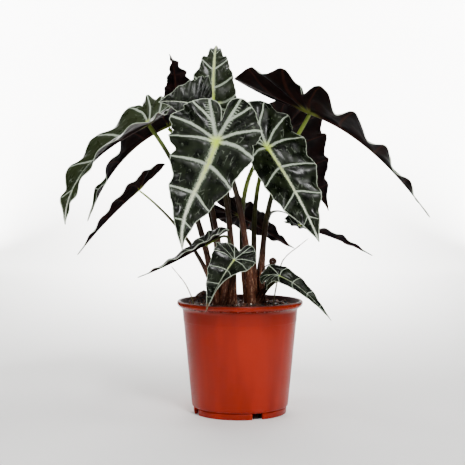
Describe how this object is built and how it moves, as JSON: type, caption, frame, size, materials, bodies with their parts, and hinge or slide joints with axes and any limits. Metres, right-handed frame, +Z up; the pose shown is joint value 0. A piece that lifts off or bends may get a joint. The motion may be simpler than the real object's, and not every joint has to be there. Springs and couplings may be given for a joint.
{
  "type": "potted alocasia",
  "caption": "Potted alocasia: arrow-shaped, wavy-edged dark leaves with pale veins on long arching petioles, in a flared plastic nursery pot.",
  "frame": {"origin": "centre of the pot's foot, on the surface that the pot stands on", "axes": "+Z up along the pot's axis, -Y towards the plant's front, +X to the right as seen from the front"},
  "size_m": [0.4876, 0.2263, 0.4989],
  "materials": {
    "pot": "satin brick-red moulded polypropylene, glossier on the rim",
    "soil": "damp dark-brown peat potting mix with a few white perlite grains",
    "corm": "dull fibrous brown",
    "blade": "semi-gloss blackish green with pale silvery-green veins above, dark maroon beneath",
    "petiole": "satin, yellow-green at the blade to streaked red-brown at the corm",
    "dry_stalk": "dry straw"
  },
  "bodies": {
    "root": {"pot": "pot", "soil": "soil", "corm_left": "corm", "corm_right": "corm", "blade_front": "blade", "petiole_front": "petiole", "blade_right_front": "blade", "petiole_right_front": "petiole", "blade_right_back": "blade", "petiole_right_back": "petiole", "blade_far_right": "blade", "petiole_far_right": "petiole", "blade_top": "blade", "petiole_top": "petiole", "blade_top_left": "blade", "petiole_top_left": "petiole", "blade_top_back": "blade", "petiole_top_back": "petiole", "blade_far_left": "blade", "petiole_far_left": "petiole", "blade_left": "blade", "petiole_left": "petiole", "blade_left_low": "blade", "petiole_left_low": "petiole", "blade_low_left": "blade", "petiole_low_left": "petiole", "blade_front_low": "blade", "petiole_front_low": "petiole", "blade_low_right": "blade", "petiole_low_right": "petiole", "blade_back_low": "blade", "petiole_back_low": "petiole", "blade_right_low": "blade", "petiole_right_low": "petiole", "dry_stalk_left": "dry_stalk", "dry_stalk_right": "dry_stalk"}
  },
  "joints": []
}
